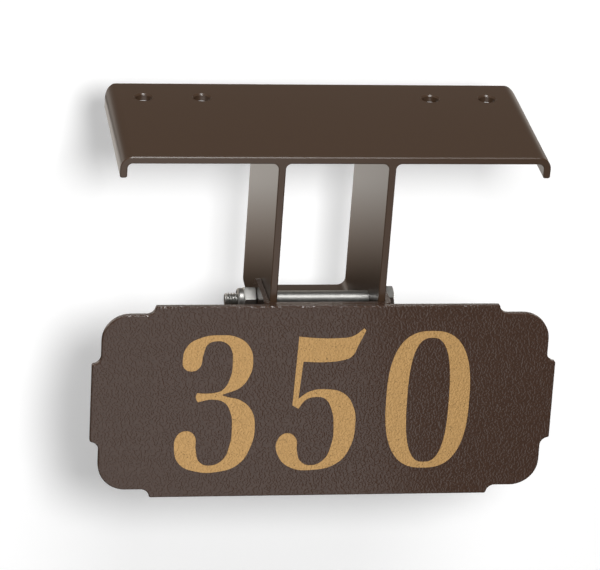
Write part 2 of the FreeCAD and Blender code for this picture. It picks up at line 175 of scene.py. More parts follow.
# Left of the first place the dark part starts at the upper heights, and right of the second place it
# starts lower by this drop, so that the painted dark reflection reaches further down there
DROP_PLACES = (-75 * MM, -45 * MM)
DROP = 30 * MM

# What shiny surfaces mirror of the room: in front it is dim at the right and brighter at the left
ROOM_RIGHT = 0.03
ROOM_LEFT = 0.3
ROOM_BEHIND = 0.2

# Lamps, in metres and degrees. The key lamp stands beside the camera, along the camera's own axes.
# Azimuth 0 is in front of the plaque and 90 at its right
KEY_BESIDE_CAMERA = Vector((0.160, 0.035, 0))
KEY_DIAMETER = 0.2
FRONT_TOP_SUN = {"azimuth": 0, "elevation": 66, "softness": 14}
TOP_SUN = {"azimuth": 180, "elevation": 84, "softness": 20}
REAR_SUN = {"azimuth": 130, "elevation": -15, "softness": 20}
PANEL_CENTRE = Vector((-0.22, -0.52, -0.30))
PANEL_WIDTH = 0.80
PANEL_HEIGHT = 0.70

# Camera: the point it looks at, its distance from there, its angles in degrees and its sensor in
# millimetres
CAMERA_TARGET = Vector((-0.012995, -0.04125, -0.061786))
CAMERA_DISTANCE = 1.4239
CAMERA_AZIMUTH = -9.962
CAMERA_ELEVATION = 25.993
CAMERA_ROLL = 4.192
SENSOR_WIDTH = 36


def linear(hex_colour):
    """The linear red, green and blue of an sRGB hex colour."""
    parts = [int(hex_colour[i:i + 2], 16) / 255 for i in (1, 3, 5)]
    return [part / 12.92 if part <= 0.04045 else ((part + 0.055) / 1.055) ** 2.4 for part in parts]


def opaque(colour):
    """A colour with full alpha, as the shader sockets take it."""
    return (*colour, 1.0)


class PlaqueSizes(bpy.types.PropertyGroup):
    """Sizes of the pieces that are modelled here."""

    bolt_diameter: FloatProperty(
        name="Bolt diameter", description="Outside diameter of the bolt's thread",
        default=6.35 * MM, unit="LENGTH", subtype="DISTANCE",
    )
    thread_pitch: FloatProperty(
        name="Thread pitch", description="Distance from one thread crest to the next",
        default=1.27 * MM, unit="LENGTH", subtype="DISTANCE",
    )
    thread_length: FloatProperty(
        name="Thread length", description="Threaded stretch at the bolt's tip",
        default=13.0 * MM, unit="LENGTH", subtype="DISTANCE",
    )
    hexagon_flats: FloatProperty(
        name="Hexagon size", description="Width across flats of the bolt's head and the nut",
        default=11.11 * MM, unit="LENGTH", subtype="DISTANCE",
    )
    head_turn: FloatProperty(
        name="Head turn", description="How far the bolt's head is turned about the bolt",
        default=math.radians(-3), unit="ROTATION", subtype="ANGLE",
    )
    nut_turn: FloatProperty(
        name="Nut turn", description="How far the nut is turned about the bolt",
        default=math.radians(-3.5), unit="ROTATION", subtype="ANGLE",
    )
    nut_hex_height: FloatProperty(
        name="Nut hexagon height", description="Height of the nut's hexagon, without its collar",
        default=5.8 * MM, unit="LENGTH", subtype="DISTANCE",
    )
    nut_collar_diameter: FloatProperty(
        name="Nut collar diameter", description="Diameter of the round collar that holds the nylon ring",
        default=10.6 * MM, unit="LENGTH", subtype="DISTANCE",
    )
    film_thickness: FloatProperty(
        name="Film thickness", description="How far the gold film stands out from the plaque's face",
        default=0.15 * MM, unit="LENGTH", subtype="DISTANCE",
    )


class PlaqueColours(bpy.types.PropertyGroup):
    """Colours of the finishes."""

    coat: FloatVectorProperty(
        name="Bronze coat", description="Colour of the powder coat on the hanger",
        default=linear("#403024"), size=3, min=0, max=1, subtype="COLOR",
    )
    hammered_coat: FloatVectorProperty(
        name="Hammered bronze coat", description="Colour of the textured powder coat on the plaque",
        default=linear("#3F2E25"), size=3, min=0, max=1, subtype="COLOR",
    )
    film: FloatVectorProperty(
        name="Gold film", description="Colour of the figures",
        default=linear("#B8915C"), size=3, min=0, max=1, subtype="COLOR",
    )
    zinc: FloatVectorProperty(
        name="Zinc plate", description="Colour of the plated steel hardware",
        default=linear("#C6C5C1"), size=3, min=0, max=1, subtype="COLOR",
    )
    nylon: FloatVectorProperty(
        name="Nylon", description="Colour of the lock nut's ring",
        default=linear("#E4E2D8"), size=3, min=0, max=1, subtype="COLOR",
    )


class PlaqueLight(bpy.types.PropertyGroup):
    """Lamps and camera."""

    key_strength: FloatProperty(
        name="Key light", description="Strength of the soft light from beside the camera",
        default=2.3,
    )
    front_top_strength: FloatProperty(
        name="Front top light", description="Strength of the soft light from above the camera",
        default=1.1,
    )
    top_strength: FloatProperty(
        name="Top light", description="Strength of the soft light from above",
        default=1.42,
    )
    rear_strength: FloatProperty(
        name="Rear light", description="Strength of the soft light from behind and below",
        default=1.9,
    )
    panel_level: FloatProperty(
        name="Panel", description="Brightness of the soft panel that the plaque's left end mirrors",
        default=1.0,
    )
    surround: FloatProperty(
        name="Surroundings", description="Even light from all round",
        default=0.22,
    )
    paper_glow: FloatProperty(
        name="Paper", description="Even light that the white paper behind throws back",
        default=0.65,
    )
    lens: FloatProperty(
        name="Lens", description="Focal length of the camera on a 36 mm wide sensor",
        default=192.79, subtype="DISTANCE_CAMERA",
    )


def add_node(tree, kind, settings=None, inputs=None):
    """Adds a shader node, sets its settings and fills its inputs with values or other nodes' outputs."""
    node = tree.nodes.new("ShaderNode" + kind)
    for name, value in (settings or {}).items():
        setattr(node, name, value)
    for name, value in (inputs or {}).items():
        if isinstance(value, bpy.types.NodeSocket):
            tree.links.new(value, node.inputs[name])
        else:
            node.inputs[name].default_value = value
    return node


def new_material(name, colour, **values):
    """A material with one Principled shader, whose even values are set on its own sockets."""
    material = bpy.data.materials.new(name)
    material.use_nodes = True
    material.diffuse_color = opaque(colour)
    tree = material.node_tree
    tree.nodes.clear()
    surface = add_node(tree, "BsdfPrincipled", inputs={"Base Color": opaque(colour), **values})
    add_node(tree, "OutputMaterial", inputs={"Surface": surface.outputs["BSDF"]})
    return material, tree, surface


def per_metre(millimetres):
    """The texture scale whose features are about this many millimetres wide."""
    return 1 / (millimetres * MM)


def shaded(colour, factor):
    """A colour made darker or lighter by a factor."""
    return opaque([channel * factor for channel in colour])


def bronze_powder_coat(colour):
    """Satin polyester powder coat, baked on aluminium: nearly smooth, with a faint orange peel and a
    glossy look where the light grazes it."""
    material, tree, surface = new_material(
        "bronze_powder_coat", colour, Roughness=0.28, IOR=1.5,
    )
    place = add_node(tree, "TexCoord").outputs["Object"]
    peel = add_node(tree, "TexNoise", inputs={"Vector": place, "Scale": per_metre(0.9), "Detail": 2.0})
    grain = add_node(tree, "TexNoise", inputs={"Vector": place, "Scale": per_metre(0.35), "Detail": 1.0})
    tint = add_node(tree, "Mix", {"data_type": "RGBA"}, {
        "Factor": grain.outputs["Fac"], "A": shaded(colour, 0.86), "B": shaded(colour, 1.14),
    })
    tree.links.new(tint.outputs["Result"], surface.inputs["Base Color"])
    bump = add_node(tree, "Bump", inputs={
        "Strength": 0.25, "Distance": 0.03 * MM, "Height": peel.outputs["Fac"],
    })
    tree.links.new(bump.outputs["Normal"], surface.inputs["Normal"])
    return material


def hammered_relief(tree, place):
    """Low ridges just under 2 mm apart that wander up and down the plaque, with pits between them:
    their height from 0 to 1, and the normals that they give."""
    slant = add_node(tree, "Mapping", inputs={
        "Vector": place, "Rotation": (0, RIDGE_SLANT, 0), "Scale": (1.0, 1.0, RIDGE_STRETCH),
    })
    ridges = add_node(tree, "TexNoise", inputs={
        "Vector": slant.outputs["Vector"], "Scale": per_metre(RIDGE_WIDTH), "Detail": 0.0,
        "Distortion": 0.3,
    })
    height = add_node(tree, "MapRange", {"interpolation_type": "SMOOTHSTEP"}, {
        "Value": ridges.outputs["Fac"], "From Min": 0.36, "From Max": 0.6,
    })
    bump = add_node(tree, "Bump", inputs={
        "Strength": 1.0, "Distance": RIDGE_HEIGHT, "Height": height.outputs["Result"],
    })
    return height.outputs["Result"], bump.outputs["Normal"]


def hammered_powder_coat(colour):
    """Hammered bronze powder coat: glossy, so that its ridges show where a reflection ends and vanish
    where it is even, and a little darker in the pits."""
    material, tree, surface = new_material(
        "hammered_powder_coat", colour, Roughness=0.12, IOR=1.5,
    )
    place = add_node(tree, "TexCoord").outputs["Object"]
    height, normal = hammered_relief(tree, place)
    tint = add_node(tree, "Mix", {"data_type": "RGBA"}, {
        "Factor": height, "A": shaded(colour, 0.96), "B": shaded(colour, 1.03),
    })
    tree.links.new(tint.outputs["Result"], surface.inputs["Base Color"])
    tree.links.new(normal, surface.inputs["Normal"])
    return material


def gold_film(colour):
    """Metallic gold sign film: fine flake in clear lacquer, thin enough for the hammered coat under it
    to print through, with dark specks where it bridges a pit."""
    material, tree, surface = new_material(
        "gold_film", colour, Metallic=0.3, Roughness=0.36, IOR=1.46,
    )
    place = add_node(tree, "TexCoord").outputs["Object"]
    height, normal = hammered_relief(tree, place)
    flake = add_node(tree, "TexNoise", inputs={"Vector": place, "Scale": per_metre(0.5), "Detail": 1.0})
    shine = add_node(tree, "Math", {"operation": "MULTIPLY"}, {0: flake.outputs["Fac"], 1: 0.9})
    mixed = add_node(tree, "Mix", {"data_type": "FLOAT"}, {
        "Factor": 0.3, "A": shine.outputs["Value"], "B": height,
    })
    tint = add_node(tree, "Mix", {"data_type": "RGBA"}, {
        "Factor": mixed.outputs["Result"], "A": shaded(colour, 0.90), "B": shaded(colour, 1.16),
    })
    specks = add_node(tree, "TexNoise", inputs={"Vector": place, "Scale": per_metre(0.5), "Detail": 0.0})
    pit = add_node(tree, "MapRange", {"interpolation_type": "SMOOTHSTEP"}, {
        "Value": specks.outputs["Fac"], "From Min": 0.7, "From Max": 0.76,
    })
    pitted = add_node(tree, "Mix", {"data_type": "RGBA"}, {
        "Factor": pit.outputs["Result"], "A": tint.outputs["Result"], "B": shaded(colour, 0.5),
    })
    tree.links.new(pitted.outputs["Result"], surface.inputs["Base Color"])
    tree.links.new(normal, surface.inputs["Normal"])
    return material


def zinc_plate(colour):
    """Bright zinc plate on turned and rolled steel: a soft mirror with faint cloudy streaks."""
    material, tree, surface = new_material("zinc_plate", colour, Metallic=1.0)
    place = add_node(tree, "TexCoord").outputs["Object"]
    cloud = add_node(tree, "TexNoise", inputs={"Vector": place, "Scale": per_metre(1.6), "Detail": 3.0})
    tint = add_node(tree, "Mix", {"data_type": "RGBA"}, {
        "Factor": cloud.outputs["Fac"], "A": shaded(colour, 0.78), "B": shaded(colour, 1.1),
    })
    tree.links.new(tint.outputs["Result"], surface.inputs["Base Color"])
    rough = add_node(tree, "MapRange", inputs={
        "Value": cloud.outputs["Fac"], "To Min": 0.39, "To Max": 0.53,
    })
    tree.links.new(rough.outputs["Result"], surface.inputs["Roughness"])
    return material


def moulded_nylon(colour):
    """Moulded nylon: milky white and a little waxy."""
    material, tree, surface = new_material("moulded_nylon", colour, Roughness=0.4, IOR=1.53)
    place = add_node(tree, "TexCoord").outputs["Object"]
    cloud = add_node(tree, "TexNoise", inputs={"Vector": place, "Scale": per_metre(2.0)})
    tint = add_node(tree, "Mix", {"data_type": "RGBA"}, {
        "Factor": cloud.outputs["Fac"], "A": shaded(colour, 0.92), "B": opaque(colour),
    })
    tree.links.new(tint.outputs["Result"], surface.inputs["Base Color"])
    return material


def material_named(name):
    """A finish that the first step has made."""
    material = bpy.data.materials.get(name)
    if material is None:
        raise RuntimeError(f"The finish {name} isn't there: run the finishes first.")
    return material


def dress(piece, material):
    """Gives a piece one finish all over."""
    piece.data.materials.clear()
    piece.data.materials.append(material)


def pick(piece):
    """Makes a piece the only selected one."""
    bpy.ops.object.select_all(action="DESELECT")
    piece.select_set(True)
    bpy.context.view_layer.objects.active = piece


def apply_modifier(piece, kind, **settings):
    """Shapes a piece with a modifier and applies it."""
    pick(piece)
    modifier = piece.modifiers.new(kind.title(), kind)
    for name, value in settings.items():
        setattr(modifier, name, value)
    bpy.ops.object.modifier_apply(modifier=modifier.name)


def clean(piece):
    """Welds doubled points and turns all faces outwards."""
    pick(piece)
    bpy.ops.object.mode_set(mode="EDIT")
    bpy.ops.mesh.select_all(action="SELECT")
    bpy.ops.mesh.remove_doubles(threshold=WELD_DISTANCE)
    bpy.ops.mesh.normals_make_consistent(inside=False)
    bpy.ops.object.mode_set(mode="OBJECT")


def combine(piece, operation, tool):
    """Adds or cuts with a second solid, which is used up."""
    apply_modifier(piece, "BOOLEAN", operation=operation, object=tool, solver="EXACT")
    bpy.data.objects.remove(tool)


def chain(name, places):
    """A row of places joined by edges, open between the last and the first."""
    bpy.ops.object.select_all(action="DESELECT")
    bpy.ops.mesh.primitive_circle_add(vertices=len(places), fill_type="NOTHING")
    piece = bpy.context.object
    piece.name = name
    for vertex, place in zip(piece.data.vertices, places):
        vertex.co = place
    bpy.ops.object.mode_set(mode="EDIT")
    mesh = bmesh.from_edit_mesh(piece.data)
    mesh.verts.ensure_lookup_table()
    bpy.ops.mesh.select_all(action="DESELECT")
    mesh.edges.get((mesh.verts[0], mesh.verts[-1])).select_set(True)
    bpy.ops.mesh.delete(type="EDGE")
    bpy.ops.object.mode_set(mode="OBJECT")
    return piece


def turned(name, profile, steps=TURNING_STEPS, pitch=0.0, turns=1):
    """Sweeps a profile of (radius, height) points round the Z axis, and along it by the pitch."""
    piece = chain(name, [(radius, 0, height) for radius, height in profile])
    apply_modifier(
        piece, "SCREW", axis="Z", steps=steps, render_steps=steps, screw_offset=pitch,
        iterations=turns, use_merge_vertices=pitch == 0, merge_threshold=WELD_DISTANCE,
    )
    clean(piece)
    return piece


def hexagon_solid(name, flats, low, high, turn):
    """A hexagon bar with its corners turned off at both ends."""
    corner = flats / 2 / math.cos(HALF_SIDE)
    bpy.ops.object.select_all(action="DESELECT")
    bpy.ops.mesh.primitive_cylinder_add(
        vertices=HEX_SIDES, radius=corner, depth=high - low, location=(0, 0, (low + high) / 2),
        rotation=(0, 0, turn + HALF_SIDE),
    )
    piece = bpy.context.object
    piece.name = name
    bpy.ops.object.transform_apply(location=True, rotation=True, scale=True)
    face = flats / 2 - HEX_FACE_INSET
    clear = corner + OVERRUN
    drop = (clear - face) * math.tan(CORNER_SLOPE)
    combine(piece, "INTERSECT", turned("barrel", [
        (0, low), (face, low), (clear, low + drop), (clear, high - drop), (face, high), (0, high),
    ]))
    return piece


def ease_edges(piece, width):
    """A small round on every sharp edge, and smooth shading between them."""
    apply_modifier(
        piece, "BEVEL", width=width, segments=2, limit_method="ANGLE", angle_limit=SHARP_EDGE,
    )
    pick(piece)
    bpy.ops.object.shade_smooth_by_angle(angle=SHARP_EDGE)


def settle(piece, place, material, body):
    """Puts a finished piece's place into its mesh, dresses it and lets it ride on its body."""
    piece.data.transform(place)
    piece.data.update()
    dress(piece, material)
    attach(piece, body)


def pivot_place(x, turn_degrees):
    """The place on the pivot line that points a piece's own Z axis along X: 90 right, -90 left."""
    turn = Matrix.Rotation(math.radians(turn_degrees), 4, "Y")
    return Matrix.Translation((x, PIVOT.y, PIVOT.z)) @ turn


class PLAQUE_OT_finishes(bpy.types.Operator):
    """Makes the finishes and coats the pieces that keep their shape"""

    bl_idname = "plaque.finishes"
    bl_label = "Finishes"

    def execute(self, context):
        colours = context.scene.plaque_colours
        coat = bronze_powder_coat(colours.coat)
        hammered = hammered_powder_coat(colours.hammered_coat)
        zinc = zinc_plate(colours.zinc)
        nylon = moulded_nylon(colours.nylon)
        gold_film(colours.film)
        finishes = {
            "hanger": coat,
            "number_plate": hammered,
            "plaque_bracket": hammered,
            "spacer_tube": zinc,
            "head_washer": zinc,
            "nylon_ring": nylon,
        }
        for node, finish in finishes.items():
            for slot in frame["nodes"][node].material_slots:
                slot.material = finish
        return {"FINISHED"}


class PLAQUE_OT_bolt(bpy.types.Operator):
    """Models the hexagon head bolt with its rolled thread"""

    bl_idname = "plaque.bolt"
    bl_label = "Pivot bolt"

    def execute(self, context):
        sizes = context.scene.plaque_sizes
        low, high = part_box("pivot_bolt")
        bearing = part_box("head_washer")[1].x
        head_height = high.x - bearing
        reach = bearing - low.x
        crest = sizes.bolt_diameter / 2
        pitch = sizes.thread_pitch
        root = crest - THREAD_DEPTH * pitch
        shank = crest - SHANK_BELOW_CREST

        thread_start = -reach + sizes.thread_length
        turns = math.ceil(sizes.thread_length / pitch) + 2
        base = -reach - pitch
        flank_end = CREST_FLAT + FLANK
        bolt = turned("hex_bolt", [
            (crest, base),
            (crest, base + pitch * CREST_FLAT),
            (root, base + pitch * flank_end),
            (root, base + pitch * (flank_end + ROOT_FLAT)),
            (crest, base + pitch),
        ], steps=THREAD_STEPS, pitch=pitch, turns=turns)
        for level, above in ((-reach, False), (thread_start, True)):
            pick(bolt)
            bpy.ops.object.mode_set(mode="EDIT")
            bpy.ops.mesh.select_all(action="SELECT")
            bpy.ops.mesh.bisect(
                plane_co=(0, 0, level), plane_no=(0, 0, 1), use_fill=True,
                clear_inner=not above, clear_outer=above,
            )
            bpy.ops.object.mode_set(mode="OBJECT")
        clean(bolt)
        tip = crest - TIP_CHAMFER
        clear = crest + OVERRUN
        combine(bolt, "INTERSECT", turned("tip", [
            (0, -reach), (tip, -reach), (clear, -reach + clear - tip), (clear, 0), (0, 0),
        ]))

        shank_end = thread_start - OVERRUN
        combine(bolt, "UNION", turned("shank", [
            (0, shank_end), (shank, shank_end), (shank, OVERRUN), (0, OVERRUN),
        ]))
        head = hexagon_solid("head", sizes.hexagon_flats, 0, head_height, sizes.head_turn)
        combine(bolt, "UNION", head)
        clean(bolt)
        pick(bolt)
        bpy.ops.object.shade_smooth_by_angle(angle=SHARP_EDGE)
        settle(bolt, pivot_place(bearing, 90), material_named("zinc_plate"), "hanger")
        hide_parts("pivot_bolt")
        return {"FINISHED"}


class PLAQUE_OT_lock_nut(bpy.types.Operator):
    """Models the lock nut with its rounded collar"""

    bl_idname = "plaque.lock_nut"
    bl_label = "Lock nut"

    def execute(self, context):
        sizes = context.scene.plaque_sizes
        low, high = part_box("lock_nut")
        height = high.x - low.x
        hexagon = sizes.nut_hex_height
        nut = hexagon_solid("nylon_lock_nut", sizes.hexagon_flats, 0, hexagon, sizes.nut_turn)
        outside = sizes.nut_collar_diameter / 2
        collar = [(0, hexagon / 2), (outside, hexagon / 2)]
        for i in range(COLLAR_STEPS + 1):
            angle = math.pi / 2 * i / COLLAR_STEPS
            collar.append((
                outside - COLLAR_ROUND * (1 - math.cos(angle)),
                height - COLLAR_ROUND * (1 - math.sin(angle)),
            ))
        collar.append((0, height))
        combine(nut, "UNION", turned("collar", collar))

        ring_low, ring_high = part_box("nylon_ring")
        groove = (ring_high.z - ring_low.z) / 2 + RING_CLEARANCE
        groove_base = high.x - ring_high.x - RING_CLEARANCE
        groove_top = high.x - ring_low.x + RING_CLEARANCE
        lip = high.x - ring_low.x + COLLAR_LIP
        bore = sizes.bolt_diameter / 2 + BORE_CLEARANCE
        mouth = groove - CRIMP_WIDTH
        combine(nut, "DIFFERENCE", turned("bore", [
            (0, -OVERRUN), (bore, -OVERRUN), (bore, groove_base), (groove, groove_base),
            (groove, groove_top), (mouth, lip), (mouth, height + OVERRUN), (0, height + OVERRUN),
        ]))
        clean(nut)
        ease_edges(nut, NUT_EDGE_ROUND)
        settle(nut, pivot_place(high.x, -90), material_named("zinc_plate"), "hanger")
        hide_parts("lock_nut")
        return {"FINISHED"}


def plaque_face():
    """The plaque's front face as a place: origin at the middle of its top edge, X right, Y up and
    Z outwards."""
    mesh = frame["nodes"]["number_plate"].data
    forward = Vector((0, -1, 0))
    facing = [face for face in mesh.polygons if face.normal.dot(forward) > math.cos(MOST_LEAN)]
    front = max(facing, key=lambda face: face.area)
    outwards = front.normal.normalized()
    across = Vector((1, 0, 0))
    up = outwards.cross(across).normalized()
    top = max(vertex.co.dot(up) for vertex in mesh.vertices)
    low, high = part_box("number_plate")
    middle = (low.x + high.x) / 2
    origin = across * middle + up * top + outwards * front.center.dot(outwards)
    columns = Matrix((across, up, outwards)).transposed()
    return Matrix.Translation(origin) @ columns.to_4x4()


def thicken(piece, low, high):
    """Turns a flat sheet in the XY plane into film between two levels."""
    pick(piece)
    bpy.ops.object.mode_set(mode="EDIT")
    bpy.ops.mesh.select_all(action="SELECT")
    bpy.ops.mesh.remove_doubles(threshold=WELD_DISTANCE)
    bpy.ops.transform.translate(value=(0, 0, low))
    bpy.ops.mesh.extrude_region_move(TRANSFORM_OT_translate={"value": (0, 0, high - low)})
    bpy.ops.mesh.select_all(action="SELECT")
    bpy.ops.mesh.normals_make_consistent(inside=False)
    bpy.ops.object.mode_set(mode="OBJECT")


def cut_outline(name, points):
    """A flat sheet inside a closed curve through the points."""
    bpy.ops.object.select_all(action="DESELECT")
    bpy.ops.curve.primitive_bezier_circle_add()
    piece = bpy.context.object
    piece.name = name
    curve = piece.data
    curve.dimensions = "2D"
    curve.fill_mode = "BOTH"
    curve.resolution_u = CURVE_STEPS
    spline = curve.splines[0]
    spline.bezier_points.add(len(points) - len(spline.bezier_points))
    for knot, (across, down, kind) in zip(spline.bezier_points, points):
        knot.co = (across * MM, -down * MM, 0)
        knot.handle_left_type = kind
        knot.handle_right_type = kind
    pick(piece)
    bpy.ops.object.convert(target="MESH")
    return bpy.context.object


def squared_oval(shape, points):
    """Points round a squared oval, evenly spaced in angle."""
    power = 2 / shape["squareness"]
    found = []
    for i in range(points):
        angle = 2 * math.pi * i / points
        across = math.copysign(abs(math.cos(angle)) ** power, math.cos(angle))
        down = math.copysign(abs(math.sin(angle)) ** power, math.sin(angle))
        found.append((
            (shape["middle"][0] + shape["half"][0] * across) * MM,
            -(shape["middle"][1] + shape["half"][1] * down) * MM,
        ))
    return found


def cut_nought(name):
    """A flat sheet between two squared ovals."""
    bpy.ops.object.select_all(action="DESELECT")
    bpy.ops.mesh.primitive_circle_add(vertices=ZERO_POINTS, fill_type="NOTHING")
    piece = bpy.context.object
    piece.name = name
    for vertex, place in zip(piece.data.vertices, squared_oval(ZERO_OUTER, ZERO_POINTS)):
        vertex.co = (*place, 0)
    bpy.ops.object.mode_set(mode="EDIT")
    bpy.ops.mesh.select_all(action="SELECT")
    bpy.ops.mesh.duplicate()
    mesh = bmesh.from_edit_mesh(piece.data)
    inner = [vertex for vertex in mesh.verts if vertex.select]
    for vertex, place in zip(inner, squared_oval(ZERO_INNER, ZERO_POINTS)):
        vertex.co = (*place, 0)
    bpy.ops.mesh.select_all(action="SELECT")
    bpy.ops.mesh.bridge_edge_loops()
    bpy.ops.object.mode_set(mode="OBJECT")
    return piece


class PLAQUE_OT_figures(bpy.types.Operator):
    """Cuts the three figures from gold film and lays them on the plaque's face"""

    bl_idname = "plaque.figures"
    bl_label = "Figures"

    def execute(self, context):
        sizes = context.scene.plaque_sizes
        place = plaque_face()
        figures = (
            cut_outline("figure_3", THREE),
            cut_outline("figure_5", FIVE),
            cut_nought("figure_0"),
        )
        for figure in figures:
            thicken(figure, -FILM_BEDDING, sizes.film_thickness)
            settle(figure, place, material_named("gold_film"), "plaque")
        return {"FINISHED"}


def aim(azimuth, elevation):
    """The direction from the object towards a lamp or the camera, with azimuth 0 in front of it."""
    a, e = math.radians(azimuth), math.radians(elevation)
    return Vector((math.sin(a) * math.cos(e), -math.cos(a) * math.cos(e), math.sin(e)))


def soft_sun(name, strength, azimuth, elevation, softness):
    """A far lamp whose disc is as many degrees wide as its softness."""
    bpy.ops.object.light_add(type="SUN")
    lamp = bpy.context.object
    lamp.name = name
    lamp.data.energy = strength
    lamp.data.angle = math.radians(softness)
    lamp.rotation_mode = "QUATERNION"
    lamp.rotation_quaternion = aim(azimuth, elevation).to_track_quat("Z", "Y")
    return lamp


def soft_disc(name, centre, target, diameter, strength):
    """A round soft lamp that lights its target at this strength, and shows in no reflection."""
    bpy.ops.object.light_add(type="AREA")
    lamp = bpy.context.object
    lamp.name = name
    lamp.data.shape = "DISK"
    lamp.data.size = diameter
    lamp.data.energy = strength * math.pi * (centre - target).length_squared
    lamp.visible_camera = False
    lamp.visible_glossy = False
    lamp.location = centre
    lamp.rotation_mode = "QUATERNION"
    lamp.rotation_quaternion = (centre - target).to_track_quat("Z", "Y")
    return lamp


def soft_panel(name, centre, width, height, level):
    """An even panel that faces the pivot. It shows in reflections only, and lights nothing matt."""
    bpy.ops.object.light_add(type="AREA")
    lamp = bpy.context.object
    lamp.name = name
    lamp.data.shape = "RECTANGLE"
    lamp.data.size = width
    lamp.data.size_y = height
    lamp.data.energy = level * math.pi * width * height
    lamp.visible_camera = False
    lamp.visible_diffuse = False
    lamp.location = centre
    lamp.rotation_mode = "QUATERNION"
    lamp.rotation_quaternion = (centre - PIVOT).to_track_quat("Z", "Y")
    return lamp


def white_paper():
    """Matt white paper. The camera sees it lit, with the object's shadow on it, and the object gets
    even light from it. Shiny surfaces don't mirror the lit paper but a painted reflection: an emission,
    bright at the height of the pivot, painted darker and warmer towards the floor and dark above. It is
    clear from behind, so that the object can be seen from all sides."""
    material = bpy.data.materials.new("white_paper")
    material.use_nodes = True
    tree = material.node_tree
    tree.nodes.clear()
    glow = bpy.context.scene.plaque_light.paper_glow
    white = opaque((1, 1, 1))
    paper = add_node(tree, "BsdfDiffuse", inputs={"Color": shaded((1, 1, 1), PAPER_WHITE)})
    faint = add_node(tree, "Emission", inputs={"Color": white, "Strength": PAPER_SEEN_GLOW})
    lit = add_node(tree, "AddShader", inputs={0: paper.outputs["BSDF"], 1: faint.outputs["Emission"]})
    even = add_node(tree, "Emission", inputs={"Color": white, "Strength": glow})

    place = add_node(tree, "TexCoord").outputs["Object"]
    parts = add_node(tree, "SeparateXYZ", inputs={"Vector": place})
    # Painted reflection: the brightness that shiny surfaces see is painted by height and across, not lit
    # by the lamps
    fade = add_node(tree, "MapRange", {"interpolation_type": "LINEAR"}, {
        "Value": parts.outputs["Z"],
        "From Min": FADE_HEIGHTS[0], "From Max": FADE_HEIGHTS[1],
        "To Min": FADE_LEVELS[0], "To Max": FADE_LEVELS[1],
    })
    drop = add_node(tree, "MapRange", {"interpolation_type": "SMOOTHSTEP"}, {
        "Value": parts.outputs["X"],
        "From Min": DROP_PLACES[0], "From Max": DROP_PLACES[1], "To Min": 0.0, "To Max": DROP,
    })
    raised = add_node(tree, "Math", {"operation": "ADD"}, {
        0: parts.outputs["Z"], 1: drop.outputs["Result"],
    })
    upper = add_node(tree, "MapRange", {"interpolation_type": "SMOOTHSTEP"}, {
        "Value": raised.outputs["Value"],
        "From Min": UPPER_HEIGHTS[0], "From Max": UPPER_HEIGHTS[1],
        "To Min": UPPER_LEVELS[0], "To Max": UPPER_LEVELS[1],
    })
    band_start = add_node(tree, "MapRange", {"interpolation_type": "SMOOTHSTEP"}, {
        "Value": parts.outputs["Z"],
        "From Min": BAND_START[0], "From Max": BAND_START[1], "To Min": 0.0, "To Max": BAND_LEVEL,
    })
    band_end = add_node(tree, "MapRange", {"interpolation_type": "SMOOTHSTEP"}, {
        "Value": parts.outputs["Z"],
        "From Min": BAND_END[0], "From Max": BAND_END[1], "To Min": 1.0, "To Max": 0.0,
    })
    banded = add_node(tree, "Math", {"operation": "MULTIPLY_ADD"}, {
        0: band_start.outputs["Result"], 1: band_end.outputs["Result"], 2: upper.outputs["Result"],
    })
    level = add_node(tree, "Math", {"operation": "MULTIPLY"}, {
        0: fade.outputs["Result"], 1: banded.outputs["Value"],
    })
    # The painted reflection grows warmer as it darkens towards the floor, a painted tint of shade
    tone = add_node(tree, "Mix", {"data_type": "RGBA"}, {
        "Factor": fade.outputs["Result"],
        "A": opaque(linear(PAINTED_REFLECTION_LOW)), "B": opaque(linear(PAINTED_REFLECTION_HIGH)),
    })
    painted_reflection = add_node(tree, "Emission", inputs={
        "Color": tone.outputs["Result"], "Strength": level.outputs["Value"],
    })

    ray = add_node(tree, "LightPath")
    scattered = add_node(tree, "MixShader", inputs={
        0: ray.outputs["Is Diffuse Ray"], 1: lit.outputs["Shader"], 2: even.outputs["Emission"],
    })
    # Glossy rays see the painted reflection in place of the lit paper
    reflected = add_node(tree, "MixShader", inputs={
        0: ray.outputs["Is Glossy Ray"], 1: scattered.outputs["Shader"], 2: painted_reflection.outputs["Emission"],
    })
    side = add_node(tree, "NewGeometry")
    clear = add_node(tree, "BsdfTransparent")
    open_back = add_node(tree, "MixShader", inputs={
        0: side.outputs["Backfacing"], 1: reflected.outputs["Shader"], 2: clear.outputs["BSDF"],
    })
    add_node(tree, "OutputMaterial", inputs={"Surface": open_back.outputs["Shader"]})
    return material


def paper_sweep(low, wall_y):
    """A wall that curves into a floor, with its faces towards the object."""
    half_width = 1.2
    height = 0.3
    bend = 0.12
    depth = 1.4
    bend_steps = 16
    left = -half_width
    places = [(left, wall_y, height), (left, wall_y, low + bend)]
    for i in range(1, bend_steps + 1):
        angle = math.pi / 2 * i / bend_steps
        y = wall_y - bend * (1 - math.cos(angle))
        z = low + bend * (1 - math.sin(angle))
        places.append((left, y, z))
    places.append((left, wall_y - depth, low))
    piece = chain("paper_sweep", places)
    bpy.ops.object.mode_set(mode="EDIT")
    bpy.ops.mesh.select_all(action="SELECT")
    bpy.ops.mesh.extrude_region_move(TRANSFORM_OT_translate={"value": (2 * half_width, 0, 0)})
    bpy.ops.object.mode_set(mode="OBJECT")
    if sum(face.normal.y * face.area for face in piece.data.polygons) > 0:
        piece.data.flip_normals()
    pick(piece)
    bpy.ops.object.shade_smooth()
    return piece


